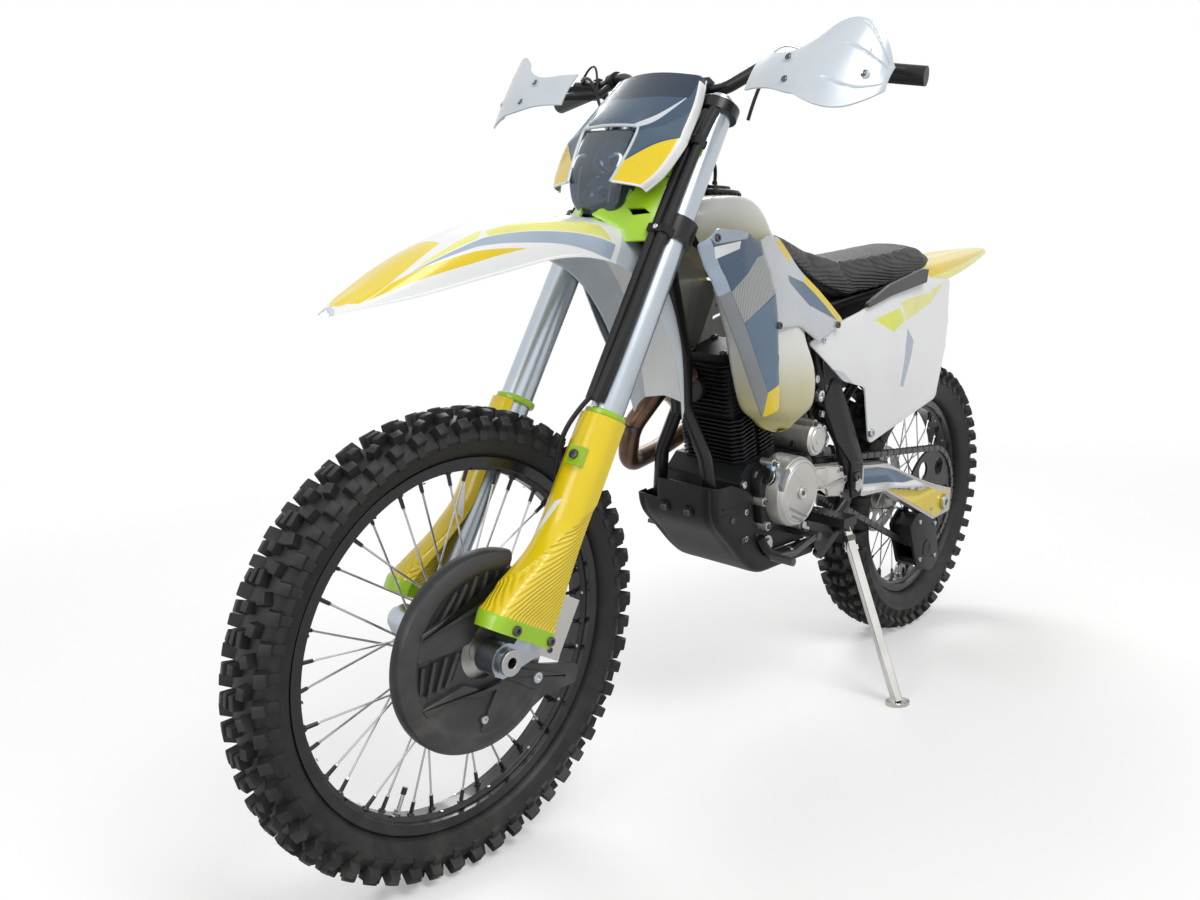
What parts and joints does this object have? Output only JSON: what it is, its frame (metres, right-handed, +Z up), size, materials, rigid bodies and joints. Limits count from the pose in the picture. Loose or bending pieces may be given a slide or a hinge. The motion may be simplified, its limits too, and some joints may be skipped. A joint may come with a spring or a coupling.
{
  "type": "trail motorcycle",
  "caption": "Off-road motorcycle leaning on its side stand, with spoked wheels that turn, steering and a folding stand.",
  "frame": {"origin": "on the ground, in the middle of the machine's length and width as it leans on its stand", "axes": "+X forward, +Y to the rider's left, +Z up"},
  "size_m": [2.1624, 0.8612, 1.3232],
  "materials": {
    "black_paint": "satin black",
    "silver_alloy": "cast and sanded",
    "bright_alloy": "satin polished",
    "steel": "machined",
    "zinc": "plated",
    "exhaust": "heat tinted",
    "tyre": "block tread rubber",
    "grip_rubber": "ribbed",
    "black_plastic": "fine grain",
    "grey_plastic": "moulded",
    "white_plastic": "gloss",
    "yellow_plastic": "gloss",
    "green_plastic": "gloss",
    "tank_plastic": "natural translucent",
    "blue_panel": "decal film",
    "lamp": "smoked lens",
    "seat_cover": "ribbed vinyl",
    "hose": "smooth"
  },
  "bodies": {
    "chassis": {"frame": "black_paint", "engine_case": "black_paint", "engine_covers": "silver_alloy", "engine_barrel": "black_paint", "exhaust_header": "exhaust", "muffler": "bright_alloy", "skid_plate": "black_plastic", "swingarm": "bright_alloy", "shock": "steel", "chain": "steel", "chain_guide": "grey_plastic", "fuel_tank": "tank_plastic", "fuel_cap": "black_plastic", "shrouds": "blue_panel", "seat": "seat_cover", "rear_fender": "white_plastic", "tail_lamp": "lamp", "side_panels": "white_plastic", "airbox": "black_plastic", "grab_handles": "grey_plastic", "footpegs": "zinc", "foot_controls": "silver_alloy", "frame_guards": "black_plastic", "rear_caliper": "silver_alloy", "rear_axle": "steel"},
    "steering": {"triple_clamps": "black_paint", "fork_tubes": "bright_alloy", "fork_sliders": "silver_alloy", "fork_guards": "yellow_plastic", "disc_cover": "grey_plastic", "front_caliper": "silver_alloy", "front_fender": "white_plastic", "headlamp_mask": "blue_panel", "headlamp": "lamp", "headlamp_bracket": "green_plastic", "handlebar": "black_paint", "grips": "grip_rubber", "hand_controls": "black_paint", "handguards": "white_plastic", "front_brake_hose": "hose", "front_axle": "steel"},
    "front_wheel": {"front_tyre": "tyre", "front_rim": "black_paint", "front_spokes": "steel", "front_hub": "silver_alloy", "front_brake_disc": "steel"},
    "rear_wheel": {"rear_tyre": "tyre", "rear_rim": "black_paint", "rear_spokes": "steel", "rear_hub": "silver_alloy", "rear_brake_disc": "steel", "rear_sprocket": "black_paint"},
    "stand": {"side_stand": "zinc"}
  },
  "joints": [
    {"name": "steering_turn", "type": "hinge", "parent": "chassis", "child": "steering", "pos_m": [0.68036, -0.11633, 0.32184], "axis": [-0.4543, 0.1209, 0.8826], "range_deg": [-38, 46]},
    {"name": "front_wheel_spin", "type": "hinge", "parent": "steering", "child": "front_wheel", "pos_m": [0.7319, -0.11677, 0.34843], "axis": [0.0622, 0.9926, -0.104], "continuous": true},
    {"name": "rear_wheel_spin", "type": "hinge", "parent": "chassis", "child": "rear_wheel", "pos_m": [-0.72797, -0.11479, 0.33259], "axis": [0, 0.9907, -0.1357], "continuous": true},
    {"name": "stand_fold", "type": "hinge", "parent": "chassis", "child": "stand", "pos_m": [-0.22298, 0.0111, 0.35286], "axis": [0.0939, 0.9469, 0.3076], "range_deg": [0, 96]}
  ]
}
